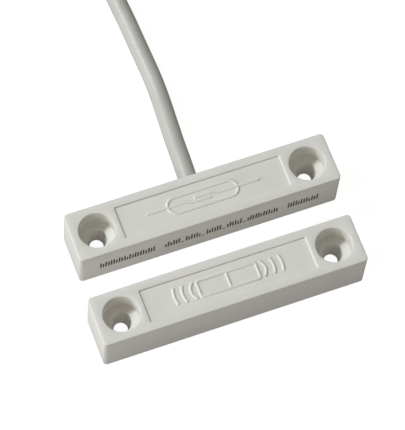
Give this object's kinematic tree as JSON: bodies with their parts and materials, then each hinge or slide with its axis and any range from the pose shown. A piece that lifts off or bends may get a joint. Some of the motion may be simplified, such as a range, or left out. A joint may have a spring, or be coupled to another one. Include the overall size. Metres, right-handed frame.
{
  "type": "door contact sensor",
  "caption": "Surface-mount magnetic door contact: a wired reed switch block with a cable and coil, and a matching magnet block that moves away with the door.",
  "frame": {"origin": "centre of the two blocks' footprint, on the plane of their mounting faces, leaving out the cable", "axes": "+X along both blocks, +Y from the magnet block to the switch block and its cable, +Z out of the mounting surface"},
  "size_m": [0.0823, 0.1283, 0.0172],
  "materials": {
    "moulded_plastic": "off-white moulded ABS, fine satin",
    "sealing_resin": "hardened grey potting resin",
    "glass_fibre_board": "green solder resist",
    "reed_glass": "clear green tinted glass",
    "nickel_iron": "drawn nickel iron",
    "solder": "bright solder",
    "tinned_copper": "tinned copper",
    "ferrite": "sintered, matt dark grey",
    "cable_sheath": "off-white soft PVC",
    "tie_plastic": "white flat tie",
    "core_red": "red PVC",
    "core_black": "black PVC",
    "core_yellow": "yellow PVC",
    "core_blue": "blue PVC"
  },
  "bodies": {
    "switch_unit": {"switch_housing": "moulded_plastic", "switch_potting": "sealing_resin", "circuit_board": "glass_fibre_board", "reed_glass": "reed_glass", "reed_lead_left": "nickel_iron", "reed_lead_right": "nickel_iron", "core_red": "core_red", "core_black": "core_black", "core_yellow": "core_yellow", "core_blue": "core_blue", "solder_red": "solder", "solder_black": "solder", "solder_yellow": "solder", "solder_blue": "solder", "solder_reed_left": "solder", "solder_reed_right": "solder", "tamper_link": "tinned_copper", "cable_lead": "cable_sheath", "cable_coil": "cable_sheath", "coil_tie_near": "tie_plastic", "coil_tie_far": "tie_plastic", "cable_tail": "cable_sheath", "tail_core_red": "core_red", "tail_core_black": "core_black", "tail_core_yellow": "core_yellow", "tail_core_blue": "core_blue", "tail_tip_red": "tinned_copper", "tail_tip_black": "tinned_copper", "tail_tip_yellow": "tinned_copper", "tail_tip_blue": "tinned_copper"},
    "magnet_unit": {"magnet_housing": "moulded_plastic", "magnet_potting": "sealing_resin", "bar_magnet": "ferrite"},
    "reed_blade_left": {"reed_paddle_left": "nickel_iron"},
    "reed_blade_right": {"reed_paddle_right": "nickel_iron"}
  },
  "joints": [
    {"name": "magnet_slide", "type": "slide", "parent": "switch_unit", "child": "magnet_unit", "axis": [0, -1, 0], "range_m": [-0.0075, 0.05]},
    {"name": "reed_left_flex", "type": "hinge", "parent": "switch_unit", "child": "reed_blade_left", "pos_m": [-0.0056, 0.00662, 0.0063], "axis": [0, 0, 1], "range_deg": [-0.2, 1]},
    {"name": "reed_right_flex", "type": "hinge", "parent": "switch_unit", "child": "reed_blade_right", "pos_m": [0.007, 0.00662, 0.0063], "axis": [0, 0, 1], "range_deg": [-0.2, 1]}
  ],
  "couplings": [
    {"joint": "reed_left_flex", "follows": "magnet_slide", "rad_per_m": 0.3},
    {"joint": "reed_right_flex", "follows": "magnet_slide", "rad_per_m": 0.3}
  ]
}
